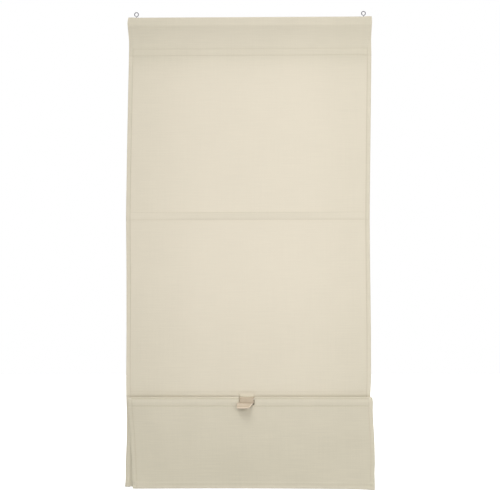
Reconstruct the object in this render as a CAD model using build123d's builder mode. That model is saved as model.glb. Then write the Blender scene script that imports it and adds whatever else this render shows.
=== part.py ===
from build123d import *
import os
from math import acos, cos, degrees, hypot, radians, sin, sqrt

# A cloth roman blind, drawn as it hangs with its lowest part folded up on a catch.
# Millimetres. X runs across the blind, Y from its front to its back, Z is up.
# The origin lies midway between the centres of the two hanging eyes.

# Cloth panel
panel_width = 600.0
cloth = 0.6
side_hem = 11.0
hem_turn = 0.9
fold_radius = 3.2
ply_gap = 0.4

# Drops, each measured down the cloth from the feature above it
upper_rod_drop = 494.6
rod_spacing = 441.4
fold_hang = 219.5
flap_length = 224.5

# The cloth hangs a little askew under its batten
hang_drift = -5.0
fold_drift = -8.0
flap_drift_top = 1.0
flap_drift_bottom = 9.0

# Head sleeve and the batten in it
sleeve_depth = 76.0
sleeve_hem = 19.0
sleeve_edge_radius = 2.0
batten_height = 20.0
batten_thickness = 12.0
batten_inset = 3.0
batten_edge_radius = 1.5
batten_gap = 0.2

# Hanging eyes
eye_wire = 2.2
eye_outside = 11.8
eye_rise = 8.2
eye_inset = 20.5
eye_bend_radius = 2.5
eye_shank_depth = 14.0
eye_turn = 322.0
eye_sides = 16
eye_tip_length = 2.5
eye_tip_inset = 0.8
eye_cloth_gap = 0.15

# Rods and the cloth casings that hold them
rod_diameter = 5.0
rod_gap = 0.1
rod_chamfer = 0.5
rod_inset = 2.0
tape = 0.5
casing_height = 17.0
casing_flange = 3.0
casing_inset = 1.0
rod_seat = 0.6

# Bottom hem and the bar in it
hem_depth = 20.0
channel_height = 9.5
channel_radius = 1.2
bar_height = 7.0
bar_thickness = 2.0
bar_gap = 0.2
bar_inset = 2.0
bar_chamfer = 0.4

# Catch
catch_offset = -9.4
catch_drop = 7.2
catch_gap = 0.35
catch_width = 34.4
catch_wall = 2.6
barrel_wall = 2.5
barrel_clearance = 0.05
arm_above = 1.0
arm_below = 2.0
jaw_top_angle = 20.0
jaw_end_angle = 46.0
face_proud = 0.4
face_drop = 11.0
crease_depth = 1.4
crease_drop = 13.4
lip_offset = -12.5
lip_width = 42.0
lip_reach = 30.0
lip_drop = 24.1
lip_thickness = 2.4
lip_bow = 2.0
lip_bead = 1.7
lip_left_corner = 3.5
lip_right_corner = 14.0
lip_corner_radius = 2.0
arm_round = 1.2

# Openings in the cloth round the catch
slit_ease = 0.8
slit_above = 8.8
slit_below = 6.2
slit_radius = 2.5
notch_offset = -9.4
notch_width = 37.4
notch_below = 17.5
notch_radius = 3.0

overrun = 5.0

os.makedirs("parts", exist_ok=True)

# Positions that follow from the sizes
half_width = panel_width / 2
half_cloth = cloth / 2
rod_radius = rod_diameter / 2
head_top = -eye_rise
batten_top = head_top - cloth
batten_bottom = batten_top - batten_height
sleeve_half = batten_thickness / 2 + batten_gap + cloth
sleeve_seam = head_top - sleeve_depth
sleeve_end = sleeve_seam - sleeve_hem
eye_x = half_width - eye_inset

upper_rod_z = head_top - upper_rod_drop
middle_rod_z = upper_rod_z - rod_spacing
lower_rod_z = middle_rod_z - catch_drop
back_rod_y = half_cloth + rod_gap + rod_radius

fold_bottom = middle_rod_z - fold_hang
fold_centre = fold_bottom + half_cloth + fold_radius
rise_y = -2 * fold_radius
flap_fold_radius = (cloth + rod_diameter + 2 * rod_gap + tape + ply_gap) / 2
flap_y = rise_y - 2 * flap_fold_radius
flap_fold_y = rise_y - flap_fold_radius
flap_fold_z = lower_rod_z + rod_radius + rod_seat + casing_flange / 2
flap_top = flap_fold_z + flap_fold_radius + half_cloth
flap_bottom = flap_top - flap_length
channel_top = flap_bottom + channel_height
front_rod_y = flap_y + half_cloth + rod_gap + rod_radius

rod_length = panel_width - 2 * (side_hem + rod_inset)
casing_length = panel_width - 2 * (side_hem + casing_inset)
bar_length = panel_width - 2 * (side_hem + bar_inset)

catch_left = catch_offset - catch_width / 2
slit_width = catch_width + 2 * slit_ease
slit_middle = middle_rod_z + (slit_above - slit_below) / 2
slit_height = slit_above + slit_below
notch_bottom = middle_rod_z - notch_below
notch_height = flap_top + overrun - notch_bottom

# One cloth panel: a sleeve at the head, a straight drop, a fold forward and up,
# a second fold forward and down, and a flap that ends in a hem.
# Each ply is (left at top, left at bottom, top, bottom, middle depth, side of its hem).
plies = [
    (0.0, hang_drift, sleeve_seam, upper_rod_z, 0.0, 1),
    (hang_drift, hang_drift, upper_rod_z, middle_rod_z, 0.0, 1),
    (hang_drift, fold_drift, middle_rod_z, fold_centre, 0.0, 1),
    (flap_drift_top, fold_drift, flap_fold_z, fold_centre, rise_y, -1),
    (flap_drift_top, flap_drift_bottom, flap_fold_z, channel_top, flap_y, 1),
]

with BuildPart() as fabric_panel:
    with BuildSketch(Plane.YZ) as sleeve_section:
        with BuildLine():
            Polyline(
                (-sleeve_half, head_top),
                (sleeve_half, head_top),
                (sleeve_half, batten_bottom),
                (half_cloth + cloth, sleeve_seam),
                (-half_cloth, sleeve_seam),
                (-sleeve_half, batten_bottom),
                close=True,
            )
        make_face()
        fillet(sleeve_section.vertices().group_by(Axis.Y)[-1], sleeve_edge_radius)
        offset(amount=-cloth, mode=Mode.SUBTRACT)
    extrude(amount=half_width, both=True)
    with BuildSketch(Plane.YZ):
        with Locations((half_cloth, sleeve_end)):
            Rectangle(2 * cloth, sleeve_hem, align=(Align.MIN, Align.MIN))
    extrude(amount=half_width, both=True)

    for drift_top, drift_bottom, top, bottom, depth, hem_side in plies:
        with BuildSketch(Plane.XZ.offset(-depth)):
            with BuildLine():
                Polyline(
                    (drift_top - half_width, top),
                    (drift_top + half_width, top),
                    (drift_bottom + half_width, bottom),
                    (drift_bottom - half_width, bottom),
                    close=True,
                )
            make_face()
        extrude(amount=half_cloth, both=True)
        with BuildSketch(Plane.XZ.offset(-depth - hem_side * half_cloth)):
            for edge in (-half_width, half_width - side_hem):
                with BuildLine():
                    Polyline(
                        (drift_top + edge, top),
                        (drift_top + edge + side_hem, top),
                        (drift_bottom + edge + side_hem, bottom),
                        (drift_bottom + edge, bottom),
                        close=True,
                    )
                make_face()
        extrude(amount=-hem_side * hem_turn)

    # The fold at the bottom, with the side hems on its outside
    for left, width, inner, outer in (
        (-half_width, panel_width, fold_radius - half_cloth, fold_radius + half_cloth),
        (-half_width, side_hem, fold_radius, fold_radius + half_cloth + hem_turn),
        (half_width - side_hem, side_hem, fold_radius, fold_radius + half_cloth + hem_turn),
    ):
        with BuildSketch(Plane.YZ.offset(fold_drift + left)):
            with Locations((-fold_radius, fold_centre)):
                Circle(outer)
                Circle(inner, mode=Mode.SUBTRACT)
                Rectangle(
                    2 * outer + overrun,
                    outer + overrun,
                    align=(Align.CENTER, Align.MIN),
                    mode=Mode.SUBTRACT,
                )
        extrude(amount=width)

    # The fold over the lower rod, with the side hems on its inside
    for left, width, inner, outer in (
        (-half_width, panel_width, flap_fold_radius - half_cloth, flap_fold_radius + half_cloth),
        (-half_width, side_hem, flap_fold_radius - half_cloth - hem_turn, flap_fold_radius),
        (half_width - side_hem, side_hem, flap_fold_radius - half_cloth - hem_turn, flap_fold_radius),
    ):
        with BuildSketch(Plane.YZ.offset(flap_drift_top + left)):
            with Locations((flap_fold_y, flap_fold_z)):
                Circle(outer)
                Circle(inner, mode=Mode.SUBTRACT)
                Rectangle(
                    2 * outer + overrun,
                    outer + overrun,
                    align=(Align.CENTER, Align.MAX),
                    mode=Mode.SUBTRACT,
                )
        extrude(amount=width)

    # The bottom hem: a channel round the bar and a turned strip above it
    with BuildSketch(Plane.YZ.offset(flap_drift_bottom - half_width)):
        with Locations((flap_y - half_cloth, flap_bottom)):
            channel_depth = 2 * (cloth + bar_gap) + bar_thickness
            with Locations((channel_depth / 2, channel_height / 2)):
                RectangleRounded(channel_depth, channel_height, channel_radius)
                RectangleRounded(
                    channel_depth - 2 * cloth,
                    channel_height - 2 * cloth,
                    channel_radius - cloth,
                    mode=Mode.SUBTRACT,
                )
        with Locations((flap_y - half_cloth, channel_top - channel_radius)):
            Rectangle(cloth, channel_radius, align=(Align.MIN, Align.MIN))
        with Locations((flap_y + half_cloth, channel_top - cloth)):
            Rectangle(
                cloth,
                hem_depth - channel_height + cloth,
                align=(Align.MIN, Align.MIN),
            )
    extrude(amount=panel_width)

    # The slit that the catch reaches through, and the notch that bares the lower rod
    with BuildSketch(Plane.XZ):
        with Locations((catch_offset, slit_middle)):
            RectangleRounded(slit_width, slit_height, slit_radius)
    extrude(amount=cloth, both=True, mode=Mode.SUBTRACT)
    with BuildSketch(Plane.XZ.offset(-rise_y - cloth)):
        with Locations((notch_offset, notch_bottom + notch_height / 2)):
            RectangleRounded(notch_width, notch_height, notch_radius)
    extrude(amount=2 * (flap_fold_radius + cloth), mode=Mode.SUBTRACT)

    # The holes for the hanging eyes
    with Locations((-eye_x, 0, head_top), (eye_x, 0, head_top)):
        Cylinder(eye_wire / 2 + eye_cloth_gap, 2 * (cloth + batten_gap), mode=Mode.SUBTRACT)

fabric_panel.part.label = "fabric_panel"
export_step(fabric_panel.part, "parts/fabric_panel.step")

# The wooden batten in the head sleeve
with BuildPart() as head_batten:
    with BuildSketch(Plane.YZ):
        with Locations((0, (batten_top + batten_bottom) / 2)):
            RectangleRounded(batten_thickness, batten_height, batten_edge_radius)
    extrude(amount=half_width - batten_inset, both=True)
    with Locations((-eye_x, 0, batten_top), (eye_x, 0, batten_top)):
        Hole(eye_wire / 2, eye_shank_depth)

head_batten.part.label = "head_batten"
export_step(head_batten.part, "parts/head_batten.step")

# Two screw eyes: a wire that rises from the batten, bends aside and turns round into a ring
ring_radius = (eye_outside - eye_wire) / 2
bend_height = -sqrt(ring_radius**2 + 2 * ring_radius * eye_bend_radius)
bend_angle = degrees(acos(eye_bend_radius / (ring_radius + eye_bend_radius)))
shank_end = batten_top - eye_shank_depth
ring_way = (cos(radians(bend_angle)), 0, -sin(radians(bend_angle)))
with BuildPart() as screw_eyes:
    for x in (-eye_x, eye_x):
        with BuildSketch(Plane((x, 0, shank_end + eye_tip_length))):
            Circle(eye_wire / 2)
        extrude(amount=bend_height - shank_end - eye_tip_length)
        with Locations((x, 0, shank_end)):
            Cone(
                eye_wire / 2 - eye_tip_inset,
                eye_wire / 2,
                eye_tip_length,
                align=(Align.CENTER, Align.CENTER, Align.MIN),
            )
        with BuildSketch(Plane((x, 0, bend_height))):
            RegularPolygon(eye_wire / 2, eye_sides)
        revolve(axis=Axis((x + eye_bend_radius, 0, bend_height), (0, 1, 0)), revolution_arc=bend_angle)
        with BuildSketch(Plane((x, 0, 0), x_dir=ring_way, z_dir=(ring_way[2], 0, -ring_way[0]))):
            with Locations((ring_radius, 0)):
                RegularPolygon(eye_wire / 2, eye_sides)
        revolve(axis=Axis((x, 0, 0), (0, -1, 0)), revolution_arc=eye_turn)

screw_eyes.part.label = "screw_eyes"
export_step(screw_eyes.part, "parts/screw_eyes.step")

# Three casings: a strip sewn along both edges that bulges over its rod.
# Each is (name, drift, face it is sewn to, middle of its rod, its upper seam).
low_seam = rod_radius + rod_seat
casings = [
    ("upper_casing", hang_drift, half_cloth, upper_rod_z, upper_rod_z - low_seam + casing_height),
    ("middle_casing", hang_drift, half_cloth, middle_rod_z, middle_rod_z - low_seam + casing_height),
    ("lower_casing", flap_drift_top, flap_y + half_cloth, lower_rod_z, flap_fold_z - casing_flange / 2),
]
for name, drift, face, rod_z, seam_high in casings:
    seam_low = seam_high - casing_height
    rod_y = face + rod_gap + rod_radius
    with BuildPart() as casing:
        with BuildSketch(Plane.YZ.offset(drift - casing_length / 2)):
            with BuildLine() as outside:
                CenterArc((rod_y, rod_z), rod_radius + rod_gap + tape, 0, 360)
                Line((face, seam_high), (face, seam_low))
            make_hull(outside.edges())
            with BuildLine() as inside:
                CenterArc((rod_y, rod_z), rod_radius + rod_gap, 0, 360)
                Line((face, seam_high - tape), (face, seam_low + tape))
            make_hull(inside.edges(), mode=Mode.SUBTRACT)
            with Locations((face, seam_high), (face, seam_low)):
                Rectangle(tape, casing_flange, align=(Align.MIN, Align.CENTER))
            with Locations((face, rod_z)):
                Rectangle(
                    rod_diameter + overrun,
                    2 * casing_height,
                    align=(Align.MAX, Align.CENTER),
                    mode=Mode.SUBTRACT,
                )
        extrude(amount=casing_length)
        if name == "middle_casing":
            with BuildSketch(Plane.XZ):
                with Locations((catch_offset, slit_middle)):
                    RectangleRounded(slit_width, slit_height, slit_radius)
            extrude(amount=-rod_diameter - overrun, mode=Mode.SUBTRACT)
        if name == "lower_casing":
            with BuildSketch(Plane.XZ.offset(-rise_y)):
                with Locations((notch_offset, notch_bottom + notch_height / 2)):
                    RectangleRounded(notch_width, notch_height, notch_radius)
            extrude(amount=rod_diameter + overrun, mode=Mode.SUBTRACT)
    casing.part.label = name
    export_step(casing.part, f"parts/{name}.step")

# Three round rods in the casings
rods = [
    ("upper_rod", hang_drift, back_rod_y, upper_rod_z),
    ("middle_rod", hang_drift, back_rod_y, middle_rod_z),
    ("lower_rod", flap_drift_top, front_rod_y, lower_rod_z),
]
for name, drift, y, z in rods:
    with BuildPart() as rod:
        with BuildSketch(Plane.YZ.offset(drift)):
            with Locations((y, z)):
                Circle(rod_radius)
        extrude(amount=rod_length / 2, both=True)
        chamfer(rod.faces().filter_by(Axis.X).edges(), rod_chamfer)
    rod.part.label = name
    export_step(rod.part, f"parts/{name}.step")

# The flat bar in the bottom hem
with BuildPart() as hem_bar:
    with BuildSketch(Plane.YZ.offset(flap_drift_bottom)):
        with Locations((flap_y + half_cloth + bar_gap, flap_bottom + cloth + bar_gap)):
            Rectangle(bar_thickness, bar_height, align=(Align.MIN, Align.MIN))
    extrude(amount=bar_length / 2, both=True)
    chamfer(hem_bar.edges(), bar_chamfer)

hem_bar.part.label = "hem_bar"
export_step(hem_bar.part, "parts/hem_bar.step")

# The catch: a barrel on the middle rod, an arm forward over the lower rod, a jaw that
# curves down round the barrel's axis and under that rod, a flat face in front of the jaw,
# and a flared finger lip below a crease.
catch_reach = back_rod_y - front_rod_y
jaw_inside = hypot(catch_reach, catch_drop) + rod_radius + catch_gap
jaw_outside = jaw_inside + catch_wall
barrel_bore = rod_radius + barrel_clearance
barrel_outside = barrel_bore + barrel_wall
pivot = Vector(back_rod_y, middle_rod_z)
jaw_start = 180 - jaw_top_angle
jaw_size = jaw_top_angle + jaw_end_angle
jaw_middle = (jaw_inside + jaw_outside) / 2
face_front = pivot.X - jaw_outside - face_proud
crease = Vector(face_front + crease_depth, pivot.Y - crease_drop)
lip_root = crease + Vector(lip_thickness / 2, lip_thickness / 2)
lip_end = pivot - Vector(lip_reach, lip_drop)
lip_way = (lip_end - lip_root).normalized()
lip_middle = (lip_root + lip_end) / 2 + Vector(-lip_way.Y, lip_way.X) * lip_bow

with BuildPart() as catch:
    with BuildSketch(Plane.YZ.offset(catch_left)):
        with Locations((pivot.X, pivot.Y)):
            Circle(barrel_outside)
        with Locations((pivot.X, pivot.Y - arm_below)):
            Rectangle(jaw_middle, arm_above + arm_below, align=(Align.MAX, Align.MIN))
        with BuildLine():
            far = CenterArc(pivot, jaw_outside, jaw_start, jaw_size)
            near = CenterArc(pivot, jaw_inside, jaw_start, jaw_size)
            Line(far @ 0, near @ 0)
            Line(far @ 1, near @ 1)
        make_face()
        with BuildLine():
            core = CenterArc(pivot, jaw_middle, 180, jaw_end_angle)
            Polyline(
                core @ 1,
                crease,
                (face_front, pivot.Y - face_drop),
                (face_front, pivot.Y + arm_above),
                (pivot.X - jaw_middle, pivot.Y + arm_above),
                core @ 0,
            )
        make_face()
        with Locations((pivot.X - barrel_outside, pivot.Y + arm_above)):
            Rectangle(jaw_outside, jaw_outside, align=(Align.MAX, Align.MIN), mode=Mode.SUBTRACT)
        with Locations((pivot.X, pivot.Y)):
            Circle(barrel_bore, mode=Mode.SUBTRACT)
    extrude(amount=catch_width)
    front_edges = catch.edges().filter_by(Axis.X).group_by(Axis.Y)[0]
    fillet(front_edges, arm_round)
    with BuildSketch(Plane.YZ.offset(lip_offset - lip_width / 2)):
        with BuildLine() as lip_line:
            ThreePointArc(lip_root, lip_middle, lip_end)
        trace(lip_line.line, line_width=lip_thickness)
        with Locations((lip_end.X, lip_end.Y)):
            Circle(lip_bead)
    extrude(amount=lip_width)
    with BuildSketch(Plane.XZ) as lip_outline:
        lip_left = lip_offset - lip_width / 2
        lip_right = lip_offset + lip_width / 2
        lip_low = lip_end.Y - lip_bead
        with BuildLine():
            Polyline(
                (lip_left, lip_low + lip_left_corner),
                (lip_left + lip_left_corner, lip_low),
                (lip_right - lip_right_corner, lip_low),
                (lip_right, lip_low + lip_right_corner),
                (lip_right, pivot.Y + jaw_outside),
                (lip_left, pivot.Y + jaw_outside),
                close=True,
            )
        make_face()
        fillet(lip_outline.vertices().sort_by(Axis.Y)[:-2], lip_corner_radius)
    extrude(amount=2 * lip_reach, both=True, mode=Mode.INTERSECT)

catch.part.label = "catch"
export_step(catch.part, "parts/catch.step")
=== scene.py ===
import bpy
import bmesh
import math
import numpy as np
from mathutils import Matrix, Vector, noise


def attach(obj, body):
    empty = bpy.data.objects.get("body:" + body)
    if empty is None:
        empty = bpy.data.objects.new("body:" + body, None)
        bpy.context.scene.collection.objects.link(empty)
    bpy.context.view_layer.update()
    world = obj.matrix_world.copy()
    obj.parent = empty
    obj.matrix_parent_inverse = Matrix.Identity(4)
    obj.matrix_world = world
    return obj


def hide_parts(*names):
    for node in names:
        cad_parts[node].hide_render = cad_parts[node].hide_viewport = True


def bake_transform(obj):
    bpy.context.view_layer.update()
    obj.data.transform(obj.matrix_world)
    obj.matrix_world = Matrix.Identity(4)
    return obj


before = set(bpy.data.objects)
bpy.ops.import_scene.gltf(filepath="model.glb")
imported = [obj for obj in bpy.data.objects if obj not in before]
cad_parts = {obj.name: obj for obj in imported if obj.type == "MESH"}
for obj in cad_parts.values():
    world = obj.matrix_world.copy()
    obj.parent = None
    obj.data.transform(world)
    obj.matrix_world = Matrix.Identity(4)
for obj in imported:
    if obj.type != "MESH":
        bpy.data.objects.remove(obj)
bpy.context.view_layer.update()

scene = bpy.context.scene
scene.view_settings.view_transform = "Standard"
mm = 0.001
print("frame loaded:", len(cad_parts), "nodes")

# the camera stands level in front of the cloth, a little to the right of its middle;
# the square frame takes in frameWidth at the cloth
cameraSetup = {"distance": 5.0, "frameWidth": 1.2312, "aimX": -0.0009, "aimZ": -0.5812,  # metres
               "roll": 0.13, "yaw": 1.6}  # degrees
yaw = math.radians(cameraSetup["yaw"])
bpy.ops.object.camera_add(
    location=(cameraSetup["aimX"] + cameraSetup["distance"] * math.sin(yaw),
              -cameraSetup["distance"] * math.cos(yaw), cameraSetup["aimZ"]),
    rotation=(math.pi / 2, math.radians(cameraSetup["roll"]), yaw))
camera = bpy.context.object
camera.data.lens = camera.data.sensor_width * cameraSetup["distance"] / cameraSetup["frameWidth"]
scene.camera = camera


def linear(hexColour):  # sRGB hex to linear
    parts = [int(hexColour[i:i + 2], 16) / 255 for i in (0, 2, 4)]
    return (*[c / 12.92 if c <= 0.04045 else ((c + 0.055) / 1.055) ** 2.4 for c in parts], 1.0)


def setInputs(tree, node, values):
    for name, value in values.items():
        if isinstance(value, bpy.types.NodeSocket):
            tree.links.new(value, node.inputs[name])
        else:
            node.inputs[name].default_value = value


def addNode(tree, kind, settings=None, inputs=None):
    node = tree.nodes.new(kind)
    for name, value in (settings or {}).items():
        setattr(node, name, value)
    setInputs(tree, node, inputs or {})
    return node


def newMaterial(name):
    material = bpy.data.materials.new(name)
    material.use_nodes = True
    return material, material.node_tree, material.node_tree.nodes["Principled BSDF"]


def waveScale(spacing):  # at scale 1 a wave texture repeats each 2 pi / 20
    return 2 * math.pi / 20 / (spacing * mm)


def smoothStep(low, high, value):
    t = min(max((value - low) / (high - low), 0.0), 1.0)
    return t * t * (3 - 2 * t)


def bell(away, width):
    return math.exp(-(away / width) ** 2)


def noiseAt(x, z, size, seed):
    return noise.noise(Vector((x / size[0], z / size[1], seed)))


# the cloth: cotton and linen plain weave, undyed; its colour holds painted light and shade:
# one ply is painted paler, as if daylight came through it, than a hem, sleeve or flap,
# and the ply attribute, which also holds painted shade and light of its own, moves the colour from the pale
# tone to the dark one
# the seam tone is painted shade in the seams' grooves and at the fold's crease
clothLook = {"onePlyLitThrough": "E6DDCA", "manyPliesShaded": "CFC8B4", "seam": "B9AF97", "seamShadeShare": 0.55,
             "thread": 1.7, "slubLength": 70.0, "slubHeight": 2.6, "mottle": 85.0,  # millimetres
             "weftSwing": 0.035, "warpSwing": 0.015, "mottleSwing": 0.015}


def clothMaterial(look):
    material, tree, shader = newMaterial("cottonLinenPlainWeave")
    lay = addNode(tree, "ShaderNodeUVMap", {"uv_map": "clothLay"}).outputs["UV"]  # metres on the flat cloth
    plies = addNode(tree, "ShaderNodeAttribute", {"attribute_name": "plies"}).outputs["Fac"]
    seam = addNode(tree, "ShaderNodeAttribute", {"attribute_name": "seam"}).outputs["Fac"]
    # real threads lie about 0.5 mm apart; drawn at 1.7 mm so that they show
    threads = []
    for direction, distortion in (("X", 1.2), ("Y", 1.6)):
        bands = addNode(tree, "ShaderNodeTexWave", {"wave_type": "BANDS", "bands_direction": direction},
                        {"Vector": lay, "Scale": waveScale(look["thread"]), "Distortion": distortion,
                         "Detail": 1.0, "Detail Scale": 0.6})
        threads.append(bands.outputs["Fac"])
    weave = addNode(tree, "ShaderNodeMath", {"operation": "ADD"}, {0: threads[0], 1: threads[1]}).outputs[0]
    # slubs: thick places in a thread, long along it and a few threads wide
    along, across = 1 / (look["slubLength"] * mm), 1 / (look["slubHeight"] * mm)
    weftLay = addNode(tree, "ShaderNodeMapping", {},
                      {"Vector": lay, "Scale": (along, across, 1.0)}).outputs[0]
    weftSlub = addNode(tree, "ShaderNodeTexNoise", {},
                       {"Vector": weftLay, "Scale": 1.0, "Detail": 3.0, "Roughness": 0.6}).outputs["Fac"]
    warpLay = addNode(tree, "ShaderNodeMapping", {},
                      {"Vector": lay, "Location": (3.1, 1.7, 0.0),
                       "Scale": (across, 0.6 * along, 1.0)}).outputs[0]
    warpSlub = addNode(tree, "ShaderNodeTexNoise", {},
                       {"Vector": warpLay, "Scale": 1.0, "Detail": 2.0}).outputs["Fac"]
    mottle = addNode(tree, "ShaderNodeTexNoise", {},
                     {"Vector": lay, "Scale": 1 / (look["mottle"] * mm), "Detail": 2.0}).outputs["Fac"]
    # painted light and shade: the colour goes from the pale tone to the dark one as the ply attribute says
    body = addNode(tree, "ShaderNodeMix", {"data_type": "RGBA"},
                   {0: plies, 6: linear(look["onePlyLitThrough"]), 7: linear(look["manyPliesShaded"])}).outputs[2]
    # each pattern turns the colour a little lighter and darker
    tones = []
    for pattern, swing in ((weftSlub, "weftSwing"), (warpSlub, "warpSwing"), (mottle, "mottleSwing")):
        spread = addNode(tree, "ShaderNodeMapRange", {},
                         {"Value": pattern, "From Min": 0.3, "From Max": 0.7,
                          "To Min": 1 - look[swing], "To Max": 1 + look[swing]})
        tones.append(spread.outputs[0])
    tone = tones[0]
    for other in tones[1:]:
        tone = addNode(tree, "ShaderNodeMath", {"operation": "MULTIPLY"}, {0: tone, 1: other}).outputs[0]
    # the streaks are weaker where light is painted as coming through a single ply
    evened = addNode(tree, "ShaderNodeMapRange", {},
                     {"Value": plies, "To Min": 0.35, "To Max": 0.85}).outputs[0]
    tone = addNode(tree, "ShaderNodeMix", {"data_type": "FLOAT"}, {0: evened, 2: 1.0, 3: tone}).outputs[0]
    body = addNode(tree, "ShaderNodeVectorMath", {"operation": "SCALE"}, {0: body, "Scale": tone}).outputs[0]
    # painted shade: the colour turns towards the seam tone in the seams' grooves, at the fold's crease and
    # along the side stitching
    seamShadeAmount = addNode(tree, "ShaderNodeMath", {"operation": "MULTIPLY"},
                         {0: seam, 1: look["seamShadeShare"]}).outputs[0]
    colour = addNode(tree, "ShaderNodeMix", {"data_type": "RGBA"},
                     {0: seamShadeAmount, 6: body, 7: linear(look["seam"])}).outputs[2]
    height = addNode(tree, "ShaderNodeMath", {"operation": "MULTIPLY_ADD"},
                     {0: weftSlub, 1: 1.6, 2: weave}).outputs[0]
    bump = addNode(tree, "ShaderNodeBump", {}, {"Strength": 0.22, "Distance": 0.25 * mm, "Height": height})
    rough = addNode(tree, "ShaderNodeMapRange", {}, {"Value": weftSlub, "To Min": 0.86, "To Max": 0.96})
    setInputs(tree, shader, {"Base Color": colour, "Roughness": rough.outputs[0], "Normal": bump.outputs[0],
                             "IOR": 1.46, "Specular IOR Level": 0.25,
                             "Sheen Weight": 0.12, "Sheen Roughness": 0.45})
    return material


cloth = clothMaterial(clothLook)

# sizes of the cloth in millimetres, as the source has them
panel = {
    "half": 300.0, "ply": 0.6, "sideHem": 11.0, "hemLift": 0.75, "sideStitch": 290.4,
    "headTop": -8.5, "headRadius": 1.7, "sleeveFace": 6.5, "battenBottom": -28.8,
    "sleeveSeam": -84.2, "sleeveEnd": -103.2, "stripFace": 0.75,
    "upperRod": -502.8, "middleRod": -944.2, "lowerRod": -951.4,
    "foldCentre": -1160.2, "foldRadius": 3.2, "riseFace": -6.4,
    "topFoldZ": -946.8, "topFoldRadius": 3.35, "flapFace": -13.1,
    "flapBottom": -1167.35, "hemTurn": 1.5, "channelTop": -1158.15, "hemEnd": -1147.65,
    "hangDrift": -5.0, "foldDrift": -8.0, "flapDriftTop": 1.0, "flapDriftBottom": 9.0,
    "slit": (-22.2, 13.4, -950.4, -935.4), "notch": (-28.7, 7.9, -961.7),  # across measured on the cloth
    "acrossStep": 6.2, "downStep": 8.0,
}
sleeveTags = ("sleeve", "sleeveFront", "sleeveBack", "strip")
hair = 0.01  # allowance where two heights or places should be equal

# heights of the rows of stitches
headSeams = (-85.7, -101.7)
upperSeams = (-488.2, -506.3)
middleSeams = (-930.3, -947.3)
flapSeams = (-947.4, -964.7)
hemSeams = (-1149.3, -1158.15)
# the hem's two swells, below its seams: top, crest and foot
hemSwells = ((-1148.9, -1151.3, -1158.0), (-1158.0, -1160.4, -1165.5))
swellHighlightRows = {"upper": -1151.6, "width": 1.3, "lower": (-1159.0, -1161.5)}  # where a painted highlight lies on them

# how the hanging cloth departs from straight, read at a few heights:
# (z, left edge, right edge) in millimetres
panelWave = [(-8, 0.7, -0.7), (-21, -1.3, 0.1), (-41, 0.3, -1.1), (-66, 2.3, -2.2), (-115, 1.8, -1.3),
             (-213, 0.7, -1.4), (-337, -0.5, -1.6), (-497, -1.5, -1.6), (-632, -0.5, -0.7),
             (-780, -0.8, 0.9), (-903, -2.0, 0.9), (-938, -1.8, -1.1), (-950, -1.4, -0.8), (-977, 0.0, 0.0),
             (-1050, 0.6, 0.0), (-1100, -1.2, 0.0), (-1146, -0.9, 0.0), (-1165, -1.6, 0.0)]
flapWave = [(-940, -2.3, -2.0), (-953, -3.0, -2.0), (-966, -3.8, -2.5), (-1001, -2.0, -2.6),
            (-1022, -0.6, -2.1), (-1050, 0.0, -1.5), (-1100, 0.5, -2.2), (-1124, 0.3, -4.2),
            (-1146, 0.5, -4.6), (-1170, 0.8, -5.1)]


def waveAt(table, z, side):
    heights = [row[0] for row in table][::-1]
    return float(np.interp(z, heights, [row[side] for row in table][::-1]))


def straightRun(start, end, step, marks=()):
    # points from start to just short of end, close together at the marked heights
    length = math.dist(start, end)
    beside = (-4.5, -2.2, -0.9, 0.0, 0.9, 2.2, 4.5)
    marked = sorted({round(abs(m - start[1]) + d, 3) for m in marks for d in beside})
    count = round(length / step)
    plain = [length * i / count for i in range(max(1, count))]
    places = [p for p in plain if all(abs(p - m) > 2.0 for m in marked)]
    places = sorted(places + [m for m in marked if 0 < m < length - 0.4])
    kept = [p for i, p in enumerate(places) if i == 0 or p - places[i - 1] > 0.3]
    return [tuple(a + (b - a) * p / length for a, b in zip(start, end)) for p in kept]


def arcRun(centre, radius, first, last, count):
    angles = [math.radians(first + (last - first) * i / count) for i in range(count)]
    return [(centre[0] + radius * math.cos(a), centre[1] + radius * math.sin(a)) for a in angles]


def hollowRun(start, end, count, steepFirst):
    # the cloth leaves the batten at a slope and flattens towards the seam
    points = []
    for i in range(count):
        t = i / count
        share = 1 - (1 - t) ** 2 if steepFirst else t ** 2
        points.append((start[0] + (end[0] - start[0]) * share, start[1] + (end[1] - start[1]) * t))
    return points


turnRows = (-937.5, -939.8, -942.2)  # more rows where the cloth turns back above the flap


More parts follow.
